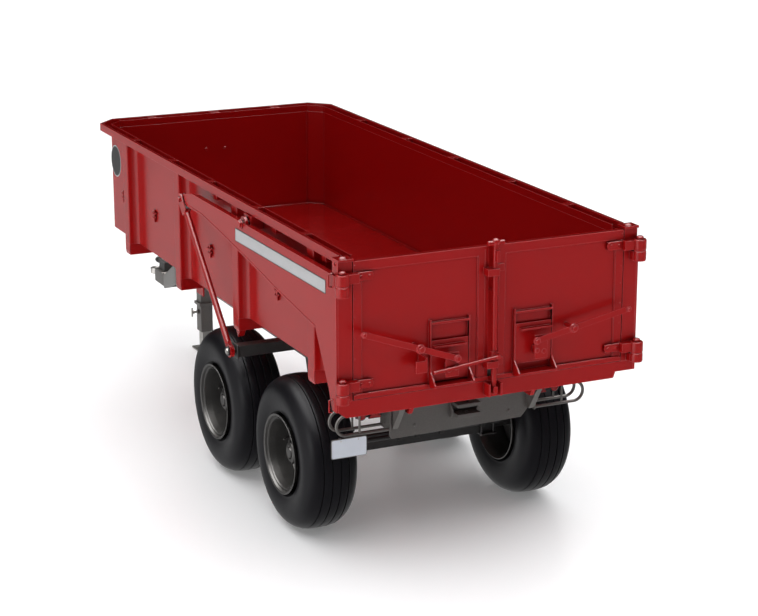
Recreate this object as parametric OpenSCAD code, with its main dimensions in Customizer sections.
// Tandem-axle tipping grain trailer with a lift-over tailgate.
// Millimetres. +X points to the drawbar, +Y to the trailer's left, +Z up, ground at z = 0.
// Inside the modules x is measured forward from the rear face of the tailgate doors.

/* [Tub] */
// Outer width over the top rim
rim_width = 2110; // [2080:2:2120]
// Rear face of the doors to the front of the rim
tub_length = 5128; // [5060:4:5200]
// Height of the top rim above the ground
rim_top = 2232; // [2224:1:2240]
// Underside of the floor plate above the ground
floor_z = 1345; // [1330:1:1360]
// Depth of the recess between the side ribs and the side sheet
recess = 80; // [60:1:90]
// Width of one pressed side rib
rib_w = 115; // [80:1:150]
// Chamfer across each front corner of the tub
corner_cut = 157; // [120:1:200]

/* [Running gear] */
// Outer diameter of a tyre
tyre_d = 1100; // [1080:2:1110]
// Width of a tyre
tyre_w = 394; // [340:2:400]
// Half the track, middle of the trailer to the middle of a tyre
half_track = 845; // [840:1:860]
// Distance between the two axles
axle_gap = 1286; // [1270:2:1320]
// Rear face of the doors to the rear axle
rear_axle_x = 1153; // [1140:1:1170]

/* [Chassis] */
// Distance from the middle to the outer face of a main rail
rail_out = 500; // [495:1:505]
// Depth of a main rail
rail_h = 205; // [180:5:210]
// Tow-eye bore
eye_bore = 50; // [40:1:60]

/* [Tailgate] */
// Height of the door top edge above the ground
door_top = 2208; // [2195:1:2212]
// Top face of the sill below the doors
sill_top = 1285; // [1275:1:1288]
// Radius of the vertical lock bar
lock_r = 18; // [14:0.5:18]

/* [View] */

/* [Hidden] */
$fn = 48;
body_red = [0.62, 0.09, 0.09];
frame_grey = [0.45, 0.44, 0.42];
dark_grey = [0.24, 0.24, 0.24];
rubber = [0.10, 0.10, 0.11];
steel = [0.66, 0.66, 0.66];
lens_red = [0.55, 0.03, 0.03];
plate_white = [0.84, 0.87, 0.90];

tail_reach = 128;                         // furthest rearward reach of the hatch levers
eye_x = 6690;                             // middle of the tow eye
eye_r = 62;                               // outer radius of the tow eye
mid_x = (eye_x + eye_r - tail_reach) / 2; // middle of the whole trailer

side_y = rim_width / 2;
tub_rear = 100;
sheet = 8;
rim_h = 60;
wall_top = rim_top - rim_h;
wall_in = recess + 5;                     // inset of the side sheet's outer face from the rim
bend = tan(22.5);
corner_x = tub_length - corner_cut;
corner_y = side_y - corner_cut;
split_x = corner_x - 60;                  // where sides end and headboard begins
rib_x = [512, 1880, 3090, 4303];          // rear edge of each side rib
hook_x = [1308, 2615, 3864, 4640];        // rope hooks
hook_z = 1690;
bridge_x = [720, 1560, 2480, 3300, 4180]; // stake pockets bridging the rim channel
bearer_z = 1250;

axle_z = tyre_d / 2;
front_axle_x = rear_axle_x + axle_gap;
pivot_x = rear_axle_x + axle_gap / 2;
pivot_z = 715;
rail_top = 1165;
rail_z = rail_top - rail_h;
rail_w = 70;
web = 12;
hinge_x = 300;
hinge_z = 1100;
cross_x = 400;                            // rear face of the rear cross member
ram_x = 2700;
ram_z = 700;
ram_top_x = 2729;
ram_top_z = 1240;
ram_lean = atan2(ram_top_x - ram_x, ram_top_z - ram_z);
ram_len = norm([ram_top_x - ram_x, ram_top_z - ram_z]);
jack_x = 5420;
jack_y = 0;

arm_y = 1104;
arm_t = 14;
lift_x = 1620;                            // gate-arm pivot
lift_z = 2111;
nose_x = 2828;                            // front pin of the gate arm
nose_z = 2037;
foot_x = 1890;                            // lower strut pin
foot_z = 1110;
pin_x = -50;                              // door hinge pins
pin_y = 1095;
door_in = 25;
door_out = 998;
bar_x = -46;
guide_y = [169, 452];                     // hatch cheeks, from the middle
lever_x = -98;
lever_pivot = [568, 1603];
lever_tilt_left = 20;
lever_tilt_right = 11;
slide_up_right = 38;

// ---------- helpers ----------
module box(x0, x1, y0, y1, z0, z1) translate([x0, y0, z0]) cube([x1 - x0, y1 - y0, z1 - z0]);
module plate_xz(pts, y0, t) translate([0, y0 + t, 0]) rotate([90, 0, 0]) linear_extrude(t) polygon(pts);
module plate_yz(pts, x0, t) translate([x0, 0, 0]) rotate([90, 0, 90]) linear_extrude(t) polygon(pts);
module rod_y(x, z, r, y0, y1) translate([x, y0, z]) rotate([-90, 0, 0]) cylinder(h = y1 - y0, r = r);
module rod_x(y, z, r, x0, x1) translate([x0, y, z]) rotate([0, 90, 0]) cylinder(h = x1 - x0, r = r);
module rod_z(x, y, r, z0, z1) translate([x, y, z0]) cylinder(h = z1 - z0, r = r);
module right() mirror([0, 1, 0]) children();
module both() { children(); mirror([0, 1, 0]) children(); }
module placed(c) color(c) translate([-mid_x, 0, 0]) children();
module hex_x(y, z, r, x0, x1) translate([x0, y, z]) rotate([0, 90, 0]) cylinder(h = x1 - x0, r = r, $fn = 6);
module hex_y(x, z, r, y0, y1) translate([x, y0, z]) rotate([-90, 0, 0]) cylinder(h = y1 - y0, r = r, $fn = 6);

// outline of the tub seen from above, moved inwards by d
function plan(d, rear) = [[rear, side_y - d], [corner_x - bend * d, side_y - d],
  [tub_length - d, corner_y - bend * d], [tub_length - d, -corner_y + bend * d],
  [corner_x - bend * d, -side_y + d], [rear, -side_y + d]];
module ring(d0, d1, z0, z1) translate([0, 0, z0]) linear_extrude(z1 - z0)
  difference() { polygon(plan(d0, tub_rear)); polygon(plan(d1, tub_rear - 50)); }
module left_part() intersection() { children(); box(0, split_x, 0, 1500, 0, 3000); }
module front_part() intersection() { children(); box(split_x, tub_length + 10, -1500, 1500, 0, 3000); }

// ---------- tub ----------
module floor_shape() {
  translate([0, 0, floor_z]) linear_extrude(sheet) polygon(plan(wall_in + sheet, tub_rear));
  for (x = rib_x) box(x + 6, x + rib_w - 6, -side_y + 12, side_y - 12, bearer_z, floor_z);
  both() plate_xz([[1892, bearer_z + 5], [1983, bearer_z + 5], [1937, 1192]], 985, 50);
  difference() {
    rod_z(ram_top_x, 0, 90, ram_top_z + 4, floor_z);
    translate([ram_top_x, 0, ram_top_z]) sphere(r = 48);
  }
}
module hook_shape(x) {
  box(x - 9, x + 9, side_y - wall_in, side_y - wall_in + 26, hook_z - 70, hook_z + 20);
  box(x - 34, x + 34, side_y - wall_in, side_y - wall_in + 18, hook_z - 12, hook_z + 6);
}
module rib_shape(x) {
  e = 12;
  y0 = side_y - wall_in;
  y1 = side_y - 5;
  translate([0, 0, floor_z]) linear_extrude(wall_top - floor_z)
    polygon([[x, y0], [x, y1 - e], [x + e, y1], [x + rib_w - e, y1], [x + rib_w, y1 - e], [x + rib_w, y0]]);
  plate_yz([[side_y - 12, bearer_z], [y1, bearer_z + 30], [y1, floor_z], [side_y - 12, floor_z]], x + 6, rib_w - 12);
}
module side_shape() {
  left_part() ring(wall_in, wall_in + sheet, floor_z, wall_top);
  for (x = rib_x) rib_shape(x);
  for (x = hook_x) hook_shape(x);
  box(tub_rear, tub_rear + 40, side_y - wall_in, side_y - 15, floor_z, wall_top);
  // lug and pin that carry the gate arm
  plate_xz([[lift_x - 70, wall_top], [lift_x - 45, lift_z - 45], [lift_x + 45, lift_z - 45], [lift_x + 70, wall_top]],
    side_y - wall_in, wall_in + 15);
  rod_y(lift_x, lift_z, 22, side_y + 15, arm_y + arm_t + 4);
  hex_y(lift_x, lift_z, 36, arm_y + arm_t + 4, arm_y + arm_t + 18);
  for (x = [330, 1180, 2300]) box(x, x + 70, side_y - wall_in, side_y - 15, wall_top - 45, wall_top);
}
module headboard_shape() {
  front_part() ring(wall_in, wall_in + sheet, floor_z, wall_top);
  for (y = [-450, 0, 450])
    box(tub_length - wall_in, tub_length - 30, y - 45, y + 45, floor_z, wall_top);
  for (y = [-80, 90]) hex_x(y, 1916, 14, tub_length - wall_in - sheet - 9, tub_length - wall_in - sheet);
}
module rim_profile() {
  ring(0, 26, wall_top, rim_top);
  ring(26, wall_in + 8, wall_top, wall_top + 8);
  ring(wall_in, wall_in + sheet, wall_top + 8, rim_top - 6);
}
module rim_side() {
  left_part() rim_profile();
  for (x = bridge_x) box(x, x + 70, side_y - wall_in, side_y - 26, wall_top + 8, rim_top - 4);
}
module rim_front_shape() {
  front_part() rim_profile();
  for (y = [-560, 0, 560])
    box(tub_length - wall_in, tub_length - 26, y - 40, y + 40, wall_top + 8, rim_top - 4);
}
module runner_shape() {
  difference() {
    union() {
      box(tub_rear + 60, 4700, rail_out - 72, rail_out - 8, rail_top + 3, bearer_z);
      plate_xz([[hinge_x - 75, bearer_z], [hinge_x - 75, hinge_z], [hinge_x - 40, hinge_z - 62],
        [hinge_x + 40, hinge_z - 62], [hinge_x + 72, hinge_z], [hinge_x + 72, bearer_z]], rail_out - 52, 30);
    }
    rod_y(hinge_x, hinge_z, 25.5, rail_out - 100, rail_out);
  }
  // guide plate that drops beside the rail
  box(4040, 4200, rail_out + 6, rail_out + 20, 900, bearer_z);
  box(4040, 4200, rail_out - 8, rail_out + 6, rail_top + 8, bearer_z);
}

// ---------- tailgate frame ----------
module arm_shape() {
  difference() {
    union() {
      plate_xz([[0, 1215], [70, 1215], [125, 1354], [331, 1700], [955, 1785], [1535, 1880], [1975, 1944],
        [2396, 2000], [2800, 2004], [2856, 2025], [2856, 2056], [2810, 2080], [2603, 2122], [0, 2122]], arm_y, arm_t);
      box(95, lift_x - 90, arm_y - 28, arm_y, 2112, 2122);
      box(lift_x + 90, 2560, arm_y - 28, arm_y, 2112, 2122);
      rod_y(lift_x, lift_z, 52, arm_y - 20, arm_y);
    }
    rod_y(lift_x, lift_z, 22.5, arm_y - 50, arm_y + 50);
    rod_y(nose_x, nose_z, 14, arm_y - 50, arm_y + 50);
  }
}
module knuckle(z0, z1) {
  difference() {
    rod_z(pin_x, pin_y, 42, z0, z1);
    rod_z(pin_x, pin_y, 16.5, z0 - 1, z1 + 1);
  }
}
post_knuckles = [[1998, 2068], [sill_top + 3, sill_top + 66]];
door_knuckles = [[2072, 2148], [sill_top + 70, sill_top + 146]];
module post_shape() {
  box(0, 90, 1004, arm_y, sill_top, door_top + 6);
  box(-14, 90, 1000, arm_y + 4, door_top + 6, rim_top - 2);
  for (k = post_knuckles) {
    rod_z(pin_x, pin_y, 42, k[0], k[1]);
    box(pin_x, 0, pin_y - 50, arm_y, k[0] + 4, k[1] - 4);
    rod_z(pin_x, pin_y, 16, k[1], k[1] + 86);
    rod_z(pin_x, pin_y, 24, k[1] + 82, k[1] + 94);
  }
}
module sill_shape() {
  plate_yz([[-arm_y, 1215], [-965, 1215], [-950, 1172], [1050, 1172], [arm_y, 1215], [arm_y, sill_top],
    [-arm_y, sill_top]], 0, 90);
  // keeper for the foot of the lock bar
  for (s = [-1, 1]) box(-76, 0, s * 44 - 6, s * 44 + 6, 1196, sill_top - 4);
  both() for (y = [300, 700]) box(90, 96, y - 40, y + 40, 1200, 1270);
}

// ---------- doors ----------
module door_shape() {
  difference() {
    union() {
      box(8, 18, door_in, door_out, sill_top + 5, door_top);
      box(0, 46, door_in, door_out, door_top - 60, door_top);
      box(0, 46, door_in, door_in + 74, sill_top + 5, door_top - 60);
      box(0, 46, door_out - 58, door_out, sill_top + 5, door_top - 60);
      box(-6, 46, door_in, door_out, sill_top + 5, sill_top + 34);
      // hatch cheeks, each a wedge that opens towards the bottom
      for (y = guide_y)
        plate_xz([[8, 1760], [-18, 1760], [-20, 1406], [-92, 1334], [-92, 1318], [-30, 1300], [8, 1300]], y - 5, 10);
      box(-86, 8, guide_y[0] + 5, guide_y[1] - 5, 1318, 1330);
      box(-18, 8, guide_y[0] + 5, guide_y[1] - 5, 1727, 1741);
      // lever post
      rod_x(lever_pivot[0], lever_pivot[1], 14, lever_x + 6, 8);
      rod_x(lever_pivot[0], lever_pivot[1], 9, lever_x - 6, lever_x + 6);
      for (k = door_knuckles) {
        knuckle(k[0], k[1]);
        difference() {
          union() {
            box(pin_x - 8, 0, door_out - 20, pin_y, k[0] + 6, k[1] - 6);
            box(-14, 0, door_out - 130, door_out - 20, k[0] + 12, k[1] - 12);
          }
          rod_z(pin_x, pin_y, 41.5, k[0], k[1]);
        }
      }
      // lock-bar bearings or strike plates
      children();
    }
    rod_x((guide_y[0] + guide_y[1]) / 2, 1500, 60, 0, 30);
  }
}
module bearing(z) {
  difference() {
    box(bar_x - 26, 0, door_in + 3 - 50, door_in + 40, z, z + 46);
    rod_z(bar_x, 0, lock_r + 0.5, z - 1, z + 47);
    box(bar_x - 27, 5, -40, -lock_r - 1, z - 1, z + 47);
  }
}
module door_left_shape() {
  door_shape() {
    bearing(2020);
    bearing(1390);
    // catch for the lock handle
    box(-104, 10, 520, 532, 1440, 1540);
    box(-104, -92, 532, 600, 1440, 1520);
  }
}
module door_right_shape() right() door_shape() {
  box(-10, 0, door_in + 12, door_in + 60, 2030, 2080);
  box(-10, 0, door_in + 12, door_in + 60, 1390, 1440);
}
slide_link = [283, 378];                  // link plate of a hatch slide, across
module slide_with_link(lift) {
  difference() {
    translate([0, 0, lift]) {
      box(-15, -7, guide_y[0] + 8, guide_y[1] - 8, 1342, 1618);
      box(-52, -15, guide_y[0] + 36, guide_y[1] - 16, 1576, 1586);
      box(-80, -15, 302, 348, 1410, 1460);
      box(-88, -79, slide_link[0], slide_link[1], 1382, 1546);
    }
    rod_x(326, 1500 + lift, 9, -120, -70);
  }
}
module lever_shape(tilt) {
  translate([lever_x, lever_pivot[0], lever_pivot[1]]) rotate([tilt, 0, 0]) {
    difference() {
      union() {
        box(-7, 3, -285, 430, -21, 21);
        rod_x(0, 0, 30, -7, 3);
        rod_x(-285, 0, 21, -7, 3);
        rod_x(430, 0, 21, -7, 3);
      }
      rod_x(430, 0, 9, -20, 20);
      rod_x(0, 0, 9.4, -7.01, 20);
    }
    hex_x(0, 0, 20, -30, -7);
    hex_x(-285, 0, 13, -16, -7);
  }
}
module lock_bar_shape() {
  rod_z(bar_x, 0, lock_r, 1215, 2196);
  // top hook that reaches over both door tops
  box(bar_x - 34, bar_x + 24, -60, 60, door_top + 12, door_top + 44);
  rod_z(bar_x, 0, lock_r, 2196, door_top + 62);
  box(bar_x - 40, bar_x - 10, -12, 12, 2110, 2190);
  // foot cam
  box(bar_x - 30, bar_x - 10, -16, 16, 1212, 1262);
  // handle
  rod_z(bar_x, 0, 30, 1458, 1502);
  translate([bar_x - 62, 0, 1480]) rotate([0, 0, 90]) rotate([0, 6, 0]) rod_x(0, 0, 12, 0, 475);
  box(bar_x - 74, bar_x - 10, -12, 12, 1468, 1492);
}

// ---------- struts ----------
strut_len = norm([nose_x - foot_x, nose_z - foot_z]);
strut_tilt = atan2(nose_x - foot_x, nose_z - foot_z);
module strut_shape() {
  y = arm_y + arm_t / 2;
  translate([foot_x, y, foot_z]) rotate([0, strut_tilt, 0]) {
    difference() {
      union() {
        rod_z(0, 0, 23, 52, strut_len - 110);
        // fork round the arm nose
        for (s = [-1, 1]) translate([0, s * 19, 0]) {
          box(-40, 40, -6, 6, strut_len - 120, strut_len);
          rod_y(0, strut_len, 44, -6, 6);
        }
        box(-30, 30, -25, 25, strut_len - 128, strut_len - 104);
        // lower eye
        rod_y(0, 0, 46, -15, 15);
        box(-26, 26, -15, 15, 20, 70);
        for (s = [-1, 1]) rod_y(0, strut_len, 21, s > 0 ? 25 : -36, s > 0 ? 38 : -25);
      }
      rod_y(0, 0, 20.5, -60, 60);
    }
  }
}

// ---------- chassis ----------
module rail_shape() {
  x0 = cross_x + 14;
  x1 = 4800;
  box(x0, x1, rail_out - web, rail_out, rail_z, rail_top);
  box(x0, x1, rail_out - rail_w, rail_out - web, rail_z, rail_z + 14);
  box(x0, x1, rail_out - rail_w, rail_out - web, rail_top - 14, rail_top);
  // hanger and trunnion pin for the rocking springs
  plate_xz([[pivot_x - 190, rail_z], [pivot_x - 75, pivot_z - 60], [pivot_x + 75, pivot_z - 60],
    [pivot_x + 190, rail_z]], rail_out - 40, 28);
  rod_y(pivot_x, pivot_z, 45, rail_out - 12, 628);
  rod_y(pivot_x, pivot_z, 58, 628, 640);
}
jaw_low = 940;
jaw_high = 1012;
module rear_cross_shape() {
  w = 548;
  plate_yz([[-w, rail_top], [-w, 940], [-w + 90, 840], [w - 20, 825], [w, 845], [w, rail_top]], cross_x, 14);
  box(cross_x - 60, cross_x, -rail_out + 76, rail_out - 76, rail_top - 12, rail_top);
  for (y = [-330, -290, 290, 330])
    plate_xz([[cross_x, 1150], [cross_x - 55, 1150], [cross_x, 1060]], y - 5, 10);
  both() {
    difference() {
      plate_xz([[cross_x, 905], [cross_x - 30, 905], [hinge_x - 42, hinge_z - 30], [hinge_x - 42, hinge_z + 42],
        [cross_x, hinge_z + 42]], rail_out + 2, 40);
      rod_y(hinge_x, hinge_z, 25, rail_out - 10, rail_out + 60);
    }
    rod_y(hinge_x, hinge_z, 25, rail_out - 60, rail_out + 56);
    rod_y(hinge_x, hinge_z, 38, rail_out + 42, rail_out + 56);
  }
  // hitch jaw
  difference() {
    union() {
      for (z = [jaw_low, jaw_high]) plate_yz([[-88, z], [88, z], [88, z + 24], [-88, z + 24]], cross_x - 110, 110);
      both() plate_xz([[cross_x, 925], [cross_x - 30, 925], [cross_x - 50, 980], [cross_x, 1048]], 88, 12);
    }
    rod_z(cross_x - 60, 0, 16, 880, 1060);
  }
}
module cross_beam(x, w, z0, z1) box(x, x + w, -rail_out + web, rail_out - web, z0, z1);
module mid_cross_shape() {
  cross_beam(pivot_x - 60, 120, rail_z + 20, rail_top - 20);
}
module ram_cross_shape() {
  cross_beam(2900, 80, rail_z + 20, rail_top - 20);
  difference() {
    both() plate_xz([[2980, 980], [2980, rail_z + 20], [ram_x + 70, ram_z - 10], [ram_x + 40, ram_z - 58],
      [ram_x - 40, ram_z - 58], [ram_x - 62, ram_z], [ram_x - 40, ram_z + 58], [2890, 1100], [2980, 1100]], 112, 16);
    rod_y(ram_x, ram_z, 30.5, -200, 200);
  }
}
drop_x0 = 4700;
drop_x1 = 6300;
module drawbar_beam() {
  y0 = rail_out - web - 2;
  // beam that runs inwards and downwards from the rail to the nose
  intersection() {
    linear_extrude(1200)
      polygon([[4500, y0 - 70], [4500, y0 - 2], [4830, y0 - 2], [6250, 92], [6250, 22], [4780, y0 - 70]]);
    plate_xz([[4500, rail_z], [4500, rail_z - 110], [4900, 800], [6250, 372], [6250, 498], [5000, 930],
      [4950, rail_z]], 0, 600);
  }
}
module nose_shape() {
  box(6250, 6560, -70, 70, 372, 498);
  box(6300, 6480, -92, 92, 498, 512);
  rod_x(0, 435, 40, 6560, eye_x - 90);
}
module eye_shape() {
  difference() {
    union() {
      rod_z(eye_x, 0, eye_r, 410, 460);
      box(eye_x - 90, eye_x - 45, -38, 38, 410, 460);
    }
    rod_z(eye_x, 0, eye_bore / 2, 400, 470);
  }
}
module outrigger_shape() {
  box(foot_x - 45, foot_x + 45, rail_out, 1068, foot_z - 45, foot_z + 40);
  box(foot_x - 55, foot_x + 55, 1068, 1080, foot_z - 55, foot_z + 52);
  rod_y(foot_x, foot_z, 20, 1080, 1140);
  rod_y(foot_x, foot_z, 34, 1128, 1140);
}
module hoop(x, y1) {
  r = 70;
  t = 11;
  z0 = 902;
  translate([x, y1 - r, z0 + r]) rotate([0, -90, 0])
    rotate_extrude(angle = 180, convexity = 4) translate([r, 0]) circle(r = t, $fn = 24);
  for (z = [z0, z0 + 2 * r]) rod_y(x, z, t, 548, y1 - r);
}
module lamp_guard_shape() {
  hoop(cross_x - 8, 945);
  hoop(cross_x + 110, 945);
  rod_z(cross_x - 8, 776, 8, 902, 1042);
  rod_z(cross_x + 110, 776, 8, 902, 1042);
  box(cross_x - 30, cross_x + 130, 548, 560, 888, 1056);
  box(cross_x - 8, cross_x + 110, 690, 706, 1030, 1052);
}
module lamps_shape() {
  plate_yz([[583, 975], [692, 975], [638, 1052]], cross_x + 40, 14);
  rod_x(742, 1010, 34, cross_x + 20, cross_x + 74);
  box(cross_x + 54, cross_x + 62, 583, 776, 985, 1028);
}
module plate_shape() {
  box(cross_x - 24, cross_x - 18, 728, 990, 752, 890);
  for (y = [790, 920]) box(cross_x - 18, cross_x - 2, y - 8, y + 8, 800, 890.9);
}
module hose_block_shape() {
  box(6310, 6450, -60, 60, 512, 600);
  for (y = [-34, 34]) {
    rod_x(y, 575, 20, 6450, 6520);
    rod_x(y, 575, 27, 6520, 6560);
  }
  rod_z(6360, 0, 12, 600, 640);
  rod_z(6360, 0, 22, 640, 656);
}
module jack_sleeve_shape() {
  difference() {
    union() {
      box(jack_x - 55, jack_x + 55, jack_y - 55, jack_y + 55, 180, 770);
      box(jack_x - 72, jack_x + 72, jack_y - 72, jack_y + 72, 424, 448);
      rod_y(jack_x, 360, 22, jack_y + 55, jack_y + 70);
      // cross plate between the two drawbar beams
      translate([0, 0, 655]) linear_extrude(110)
        polygon([[5400, -249.8], [5440, -239.1], [5440, 239.1], [5400, 249.8]]);
    }
    box(jack_x - 44, jack_x + 44, jack_y - 44, jack_y + 44, 170, 760);
    rod_y(jack_x, 360, 10.4, jack_y, jack_y + 90);
  }
}
module jack_leg_shape() {
  box(jack_x - 42, jack_x + 42, jack_y - 42, jack_y + 42, 16, 520);
  box(jack_x - 110, jack_x + 110, jack_y - 90, jack_y + 90, 0, 16);
}
module jack_pin_shape() {
  rod_y(jack_x, 360, 10, jack_y + 45, jack_y + 100);
  rod_y(jack_x, 360, 16, jack_y + 100, jack_y + 112);
  rod_z(jack_x, jack_y + 120, 8, 320, 400);
  rod_y(jack_x, 360, 10, jack_y + 112, jack_y + 120);
}

// ---------- tipping ram ----------
module on_ram() translate([ram_x, 0, ram_z]) rotate([0, ram_lean, 0]) children();
ram_low = 245;
module barrel_shape() on_ram() {
  difference() {
    union() {
      rod_z(0, 0, 85, -ram_low, ram_len - 75);
      rod_y(0, 0, 30.4, -138, 138);
    }
    rod_z(0, 0, 71, -ram_low + 20, ram_len);
  }
}
module stage_shape(r, bore, low, top) on_ram() difference() {
  rod_z(0, 0, r, low - ram_low, top);
  rod_z(0, 0, bore, low - ram_low + 20, top + 1);
}
module last_stage_shape() on_ram() {
  rod_z(0, 0, 40, 72 - ram_low, ram_len - 20);
  translate([0, 0, ram_len]) sphere(r = 44);
}

// ---------- rocking bogie ----------
module axle_shape(x) {
  box(x - 55, x + 55, -628, 628, axle_z - 55, axle_z + 55);
  both() rod_y(x, axle_z, 43.95, 628, half_track + 60);
}
module spring_shape() {
  y0 = 530;
  y1 = 600;
  top = axle_z + 55;
  difference() {
    union() {
      plate_xz([[rear_axle_x - 190, top], [rear_axle_x + 130, top], [pivot_x - 200, top + 30],
        [pivot_x + 200, top + 30], [front_axle_x - 130, top], [front_axle_x + 190, top],
        [front_axle_x + 190, top + 24], [front_axle_x - 40, top + 60], [pivot_x + 170, pivot_z + 70],
        [pivot_x - 170, pivot_z + 70], [rear_axle_x + 40, top + 60], [rear_axle_x - 190, top + 24]], y0, y1 - y0);
      rod_y(pivot_x, pivot_z, 78, y0 - 20, y1 + 15);
    }
    rod_y(pivot_x, pivot_z, 45.5, y0 - 40, y1 + 40);
  }
  for (x = [rear_axle_x, front_axle_x], s = [-1, 1]) for (y = [y0 - 14, y1 + 14])
    rod_z(x + s * 70, y, 10, top - 130, top + 92);
  for (x = [rear_axle_x, front_axle_x], s = [-1, 1])
    box(x + s * 70 - 16, x + s * 70 + 16, y0 - 26, y1 + 26, top + 62, top + 74);
  for (x = [rear_axle_x, front_axle_x])
    box(x - 92, x + 92, y0 - 28, y1 + 28, top - 122, top - 110);
}
module brake_shape() {
  x = rear_axle_x - 130;
  rod_y(x, 600, 16, -500, 470);
  for (y = [-480, -150, 40, 180]) box(x - 26, x + 26, y - 14, y + 14, 574, 626);
  for (y = [-480, 180]) box(x + 26, rear_axle_x - 55, y - 12, y + 12, 580, 600);
  box(x - 12, x + 12, 40, 56, 626, 740);
}
module tyre_shape(x) {
  w = tyre_w / 2;
  r = tyre_d / 2;
  translate([x, half_track, axle_z]) rotate([-90, 0, 0]) rotate_extrude(convexity = 6, $fn = 96) difference() {
    polygon([[258, -w + 62], [258, w - 62], [270, w - 34], [300, w - 14], [350, w - 2], [400, w], [452, w - 12],
      [500, w - 42], [530, w - 82], [r - 4, w - 118], [r, w - 170], [r, -w + 170], [r - 4, -w + 118],
      [530, -w + 82], [500, -w + 42], [452, -w + 12], [400, -w], [350, -w + 2], [300, -w + 14], [270, -w + 34]]);
    for (c = [-93, -31, 31, 93]) translate([r - 9, c - 4]) square([20, 8]);
  }
}
module wheel_shape(x) {
  w = tyre_w / 2 - 62;
  translate([x, half_track, axle_z]) rotate([-90, 0, 0]) {
    rotate_extrude(convexity = 6, $fn = 96)
      polygon([[258, -w], [258, w], [266, w + 25], [276, w + 43], [286, w + 59], [279, w + 63], [266, w + 46], [244, w + 6],
        [236, 20], [205, 4], [112, 24], [112, 66], [72, 70], [72, 122], [44, 130], [44, -30], [112, -30],
        [112, 8], [205, -12], [244, 2], [244, -w - 6], [266, -w - 46], [279, -w - 63], [286, -w - 59],
        [276, -w - 43], [266, -w - 25]]);
    rod_z(0, 0, 44, 110, 130);
    for (a = [0:36:324]) rotate([0, 0, a]) rod_z(92, 0, 11, 60, 92);
  }
}

// ---------- named parts ----------
module rail_left() placed(frame_grey) rail_shape();
module rail_right() placed(frame_grey) right() rail_shape();
module rear_cross_member() placed(frame_grey) rear_cross_shape();
module mid_cross_member() placed(frame_grey) mid_cross_shape();
module ram_cross_member() placed(frame_grey) ram_cross_shape();
module drawbar_left() placed(frame_grey) drawbar_beam();
module drawbar_right() placed(frame_grey) right() drawbar_beam();
module drawbar_nose() placed(frame_grey) nose_shape();
module tow_eye() placed(steel) eye_shape();
module outrigger_left() placed(dark_grey) outrigger_shape();
module outrigger_right() placed(dark_grey) right() outrigger_shape();
module lamp_guard_left() placed(steel) lamp_guard_shape();
module lamp_guard_right() placed(steel) right() lamp_guard_shape();
module lamps_left() placed(lens_red) lamps_shape();
module lamps_right() placed(lens_red) right() lamps_shape();
module number_plate() placed(plate_white) plate_shape();
module hose_block() placed(dark_grey) hose_block_shape();
module jack_sleeve() placed(frame_grey) jack_sleeve_shape();
module jack_leg() placed(steel) jack_leg_shape();
module jack_pin() placed(steel) jack_pin_shape();
module ram_barrel() placed(dark_grey) barrel_shape();
module ram_stage_1() placed(steel) stage_shape(69, 57, 24, ram_len - 62);
module ram_stage_2() placed(steel) stage_shape(55, 42, 48, ram_len - 52);
module ram_stage_3() placed(steel) last_stage_shape();
module axle_rear() placed(dark_grey) axle_shape(rear_axle_x);
module axle_front() placed(dark_grey) axle_shape(front_axle_x);
module spring_left() placed(dark_grey) spring_shape();
module spring_right() placed(dark_grey) right() spring_shape();
module brake_shaft() placed(dark_grey) brake_shape();
module tyre_rear_left() placed(rubber) tyre_shape(rear_axle_x);
module wheel_rear_left() placed(frame_grey) wheel_shape(rear_axle_x);
module tyre_rear_right() placed(rubber) right() tyre_shape(rear_axle_x);
module wheel_rear_right() placed(frame_grey) right() wheel_shape(rear_axle_x);
module tyre_front_left() placed(rubber) tyre_shape(front_axle_x);
module wheel_front_left() placed(frame_grey) wheel_shape(front_axle_x);
module tyre_front_right() placed(rubber) right() tyre_shape(front_axle_x);
module wheel_front_right() placed(frame_grey) right() wheel_shape(front_axle_x);
module tub_floor() placed(body_red) floor_shape();
module tub_side_left() placed(body_red) side_shape();
module tub_side_right() placed(body_red) right() side_shape();
module headboard() placed(body_red) headboard_shape();
module rim_left() placed(body_red) rim_side();
module rim_right() placed(body_red) right() rim_side();
module rim_front() placed(body_red) rim_front_shape();
module runner_left() placed(body_red) runner_shape();
module runner_right() placed(body_red) right() runner_shape();
module arm_left() placed(body_red) arm_shape();
module arm_right() placed(body_red) right() arm_shape();
module post_left() placed(body_red) post_shape();
module post_right() placed(body_red) right() post_shape();
module sill() placed(body_red) sill_shape();
module door_left() placed(body_red) door_left_shape();
module door_right() placed(body_red) door_right_shape();
module hatch_slide_left() placed(body_red) slide_with_link(0);
module hatch_slide_right() placed(body_red) right() slide_with_link(slide_up_right);
module hatch_lever_left() placed(body_red) lever_shape(lever_tilt_left);
module hatch_lever_right() placed(body_red) right() lever_shape(lever_tilt_right);
module lock_bar() placed(body_red) lock_bar_shape();
module strut_left() placed(body_red) strut_shape();
module strut_right() placed(body_red) right() strut_shape();

rail_left();
rail_right();
rear_cross_member();
mid_cross_member();
ram_cross_member();
drawbar_left();
drawbar_right();
drawbar_nose();
tow_eye();
outrigger_left();
outrigger_right();
lamp_guard_left();
lamp_guard_right();
lamps_left();
lamps_right();
number_plate();
hose_block();
jack_sleeve();
jack_leg();
jack_pin();
ram_barrel();
ram_stage_1();
ram_stage_2();
ram_stage_3();
axle_rear();
axle_front();
spring_left();
spring_right();
brake_shaft();
tyre_rear_left();
wheel_rear_left();
tyre_rear_right();
wheel_rear_right();
tyre_front_left();
wheel_front_left();
tyre_front_right();
wheel_front_right();
tub_floor();
tub_side_left();
tub_side_right();
headboard();
rim_left();
rim_right();
rim_front();
runner_left();
runner_right();
arm_left();
arm_right();
post_left();
post_right();
sill();
door_left();
door_right();
hatch_slide_left();
hatch_slide_right();
hatch_lever_left();
hatch_lever_right();
lock_bar();
strut_left();
strut_right();
